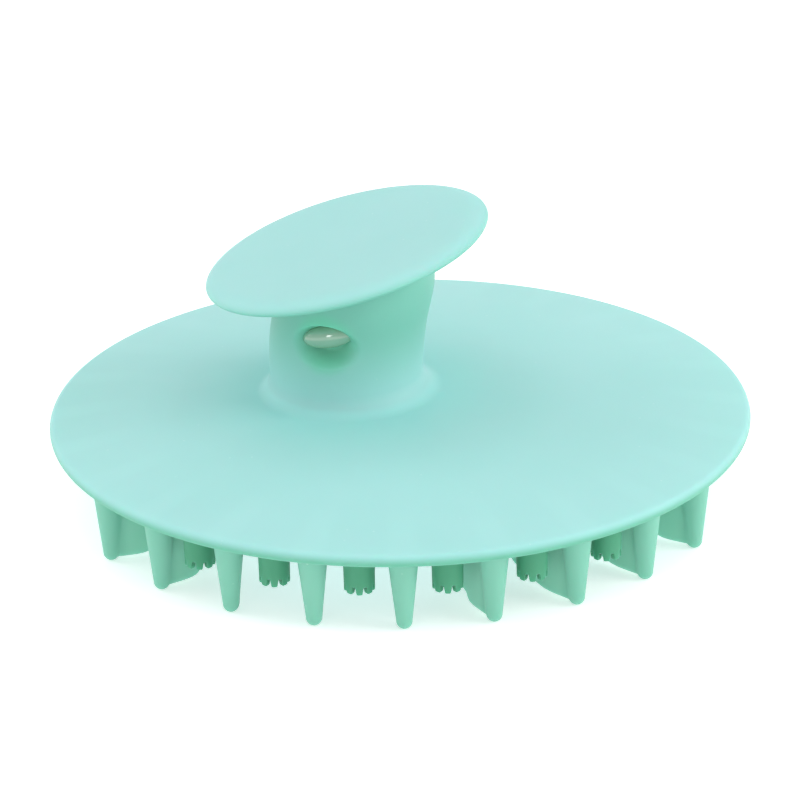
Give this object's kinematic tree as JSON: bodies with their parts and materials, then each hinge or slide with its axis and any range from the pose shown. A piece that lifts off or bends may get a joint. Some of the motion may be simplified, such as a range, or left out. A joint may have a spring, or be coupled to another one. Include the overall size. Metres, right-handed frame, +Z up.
{
  "type": "scalp massager brush",
  "caption": "Hand-held silicone scalp massager with a domed round pad, tilted mushroom knob, flexing finned teeth and short crown stubs.",
  "frame": {"origin": "on the surface the tooth tips stand on, under the centre of the round pad", "axes": "+Z up from the tooth tips towards the knob, +X towards the high side of the tilted knob, and -Y towards the side of the neck that shows the recess"},
  "size_m": [0.086, 0.086, 0.036],
  "materials": {
    "mint_silicone": "satin moulded silicone, slightly translucent",
    "white_core": "moulded white plastic",
    "glossy_plug": "glossy off-white plastic"
  },
  "bodies": {
    "root": {"silicone_body": "mint_silicone", "core_frame": "white_core", "knob_plate": "white_core", "locating_plug": "glossy_plug", "crown_stub_01": "mint_silicone", "crown_stub_02": "mint_silicone", "crown_stub_03": "mint_silicone", "crown_stub_04": "mint_silicone", "crown_stub_05": "mint_silicone", "crown_stub_06": "mint_silicone", "crown_stub_07": "mint_silicone", "crown_stub_08": "mint_silicone", "crown_stub_09": "mint_silicone", "crown_stub_10": "mint_silicone", "crown_stub_11": "mint_silicone", "crown_stub_12": "mint_silicone"},
    "tooth_01": {"tooth_01": "mint_silicone"},
    "tooth_02": {"tooth_02": "mint_silicone"},
    "tooth_03": {"tooth_03": "mint_silicone"},
    "tooth_04": {"tooth_04": "mint_silicone"},
    "tooth_05": {"tooth_05": "mint_silicone"},
    "tooth_06": {"tooth_06": "mint_silicone"},
    "tooth_07": {"tooth_07": "mint_silicone"},
    "tooth_08": {"tooth_08": "mint_silicone"},
    "tooth_09": {"tooth_09": "mint_silicone"},
    "tooth_10": {"tooth_10": "mint_silicone"},
    "tooth_11": {"tooth_11": "mint_silicone"},
    "tooth_12": {"tooth_12": "mint_silicone"},
    "tooth_13": {"tooth_13": "mint_silicone"},
    "tooth_14": {"tooth_14": "mint_silicone"},
    "tooth_15": {"tooth_15": "mint_silicone"},
    "tooth_16": {"tooth_16": "mint_silicone"},
    "tooth_17": {"tooth_17": "mint_silicone"},
    "tooth_18": {"tooth_18": "mint_silicone"}
  },
  "joints": [
    {"name": "tooth_01_lean", "type": "hinge", "parent": "root", "child": "tooth_01", "pos_m": [-0.03481, -0.0201, 0.00844], "axis": [-0.9781, -0.2079, 0], "range_deg": [-15, 15], "stiffness_Nm_per_rad": 0.005},
    {"name": "tooth_02_lean", "type": "hinge", "parent": "root", "child": "tooth_02", "pos_m": [-0.02843, -0.02843, 0.00844], "axis": [-0.8387, -0.5446, 0], "range_deg": [-15, 15], "stiffness_Nm_per_rad": 0.005},
    {"name": "tooth_03_lean", "type": "hinge", "parent": "root", "child": "tooth_03", "pos_m": [-0.0201, -0.03481, 0.00844], "axis": [-0.5, -0.866, 0], "range_deg": [-15, 15], "stiffness_Nm_per_rad": 0.005},
    {"name": "tooth_04_lean", "type": "hinge", "parent": "root", "child": "tooth_04", "pos_m": [-0.0104, -0.03883, 0.00844], "axis": [-0.2588, -0.9659, 0], "range_deg": [-15, 15], "stiffness_Nm_per_rad": 0.005},
    {"name": "tooth_05_lean", "type": "hinge", "parent": "root", "child": "tooth_05", "pos_m": [0, -0.0402, 0.00844], "axis": [0, -1, 0], "range_deg": [-15, 15], "stiffness_Nm_per_rad": 0.005},
    {"name": "tooth_06_lean", "type": "hinge", "parent": "root", "child": "tooth_06", "pos_m": [0.0104, -0.03883, 0.00844], "axis": [0.515, -0.8572, 0], "range_deg": [-15, 15], "stiffness_Nm_per_rad": 0.005},
    {"name": "tooth_07_lean", "type": "hinge", "parent": "root", "child": "tooth_07", "pos_m": [0.0201, -0.03481, 0.00844], "axis": [0.7193, -0.6947, 0], "range_deg": [-15, 15], "stiffness_Nm_per_rad": 0.005},
    {"name": "tooth_08_lean", "type": "hinge", "parent": "root", "child": "tooth_08", "pos_m": [0.02843, -0.02843, 0.00844], "axis": [0.7431, -0.6691, 0], "range_deg": [-15, 15], "stiffness_Nm_per_rad": 0.005},
    {"name": "tooth_09_lean", "type": "hinge", "parent": "root", "child": "tooth_09", "pos_m": [0.03481, -0.0201, 0.00844], "axis": [0.8746, -0.4848, 0], "range_deg": [-15, 15], "stiffness_Nm_per_rad": 0.005},
    {"name": "tooth_10_lean", "type": "hinge", "parent": "root", "child": "tooth_10", "pos_m": [0.03481, 0.0201, 0.00844], "axis": [0.9781, 0.2079, 0], "range_deg": [-15, 15], "stiffness_Nm_per_rad": 0.005},
    {"name": "tooth_11_lean", "type": "hinge", "parent": "root", "child": "tooth_11", "pos_m": [0.02843, 0.02843, 0.00844], "axis": [0.8387, 0.5446, 0], "range_deg": [-15, 15], "stiffness_Nm_per_rad": 0.005},
    {"name": "tooth_12_lean", "type": "hinge", "parent": "root", "child": "tooth_12", "pos_m": [0.0201, 0.03481, 0.00844], "axis": [0.5, 0.866, 0], "range_deg": [-15, 15], "stiffness_Nm_per_rad": 0.005},
    {"name": "tooth_13_lean", "type": "hinge", "parent": "root", "child": "tooth_13", "pos_m": [0.0104, 0.03883, 0.00844], "axis": [0.2588, 0.9659, 0], "range_deg": [-15, 15], "stiffness_Nm_per_rad": 0.005},
    {"name": "tooth_14_lean", "type": "hinge", "parent": "root", "child": "tooth_14", "pos_m": [0, 0.0402, 0.00844], "axis": [0, 1, 0], "range_deg": [-15, 15], "stiffness_Nm_per_rad": 0.005},
    {"name": "tooth_15_lean", "type": "hinge", "parent": "root", "child": "tooth_15", "pos_m": [-0.0104, 0.03883, 0.00844], "axis": [-0.515, 0.8572, 0], "range_deg": [-15, 15], "stiffness_Nm_per_rad": 0.005},
    {"name": "tooth_16_lean", "type": "hinge", "parent": "root", "child": "tooth_16", "pos_m": [-0.0201, 0.03481, 0.00844], "axis": [-0.7193, 0.6947, 0], "range_deg": [-15, 15], "stiffness_Nm_per_rad": 0.005},
    {"name": "tooth_17_lean", "type": "hinge", "parent": "root", "child": "tooth_17", "pos_m": [-0.02843, 0.02843, 0.00844], "axis": [-0.7431, 0.6691, 0], "range_deg": [-15, 15], "stiffness_Nm_per_rad": 0.005},
    {"name": "tooth_18_lean", "type": "hinge", "parent": "root", "child": "tooth_18", "pos_m": [-0.03481, 0.0201, 0.00844], "axis": [-0.8746, 0.4848, 0], "range_deg": [-15, 15], "stiffness_Nm_per_rad": 0.005}
  ]
}
